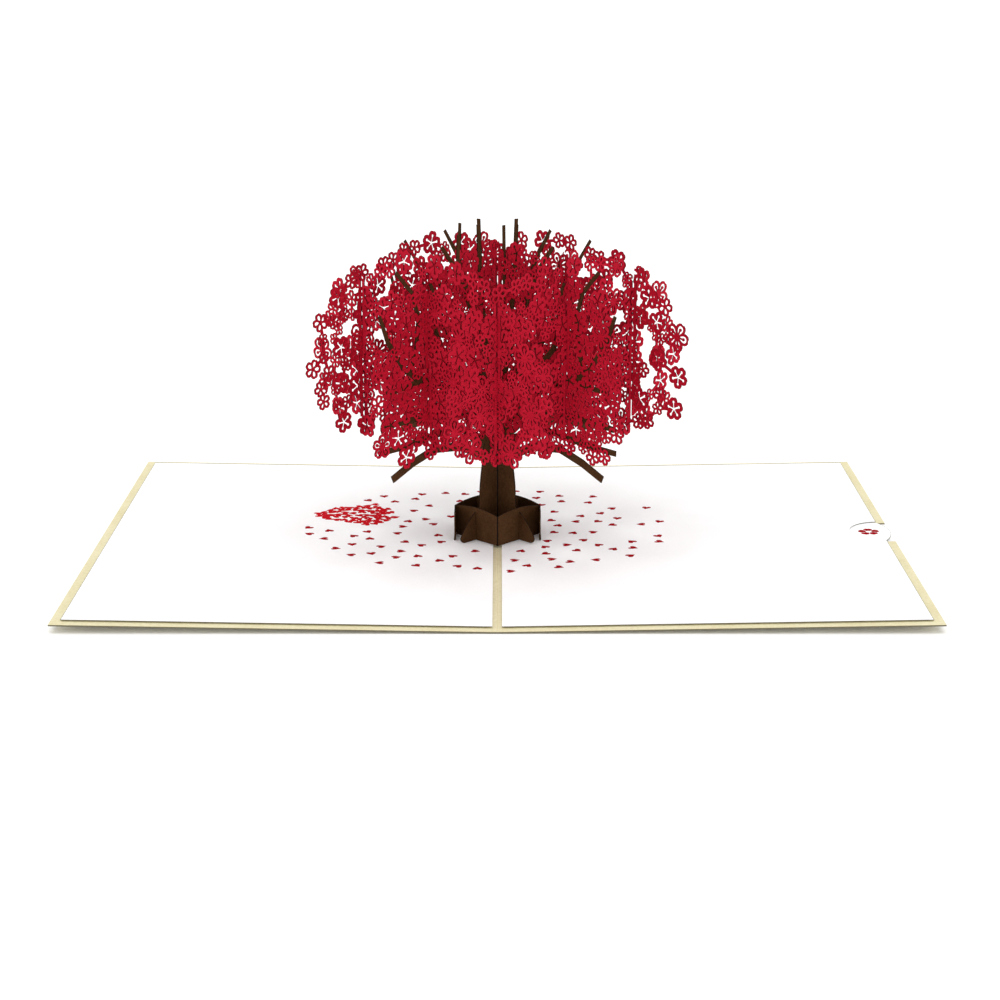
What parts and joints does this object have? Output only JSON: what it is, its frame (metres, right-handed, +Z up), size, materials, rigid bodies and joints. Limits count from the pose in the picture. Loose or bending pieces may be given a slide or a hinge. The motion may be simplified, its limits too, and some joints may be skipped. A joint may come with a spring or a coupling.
{
  "type": "pop up card",
  "caption": "Open greeting card with a slotted paper blossom tree standing on its fold and a pull-out note in a pocket behind the right page.",
  "frame": {"origin": "under the middle of the spine, on the table", "axes": "+X across the open card to the right page, +Y from the front edge to the back edge, +Z up"},
  "size_m": [0.254, 0.1778, 0.1028],
  "materials": {
    "cover_card": "matte",
    "page_paper": "matte",
    "note_paper": "matte",
    "red_paper": "matte",
    "brown_paper": "matte",
    "tape": "matte"
  },
  "bodies": {
    "card": {"cover": "cover_card", "left_panel": "page_paper", "right_panel": "page_paper", "left_tape_front": "tape", "left_tape_back": "tape", "left_tape_inner": "tape", "left_tape_outer": "tape", "right_tape_front": "tape", "right_tape_back": "tape", "right_tape_inner": "tape", "base_front_wall": "brown_paper", "base_back_wall": "brown_paper", "trunk_sheet_a": "brown_paper", "trunk_sheet_b": "brown_paper", "blossoms_a_front": "red_paper", "blossoms_a_middle": "red_paper", "blossoms_a_back": "red_paper", "blossoms_b_front": "red_paper", "blossoms_b_middle": "red_paper", "blossoms_b_back": "red_paper"},
    "note": {"pull_out_note": "note_paper"}
  },
  "joints": [
    {"name": "note_slide", "type": "slide", "parent": "card", "child": "note", "axis": [0.9999, 0, 0.0169], "range_m": [0, 0.09]}
  ]
}
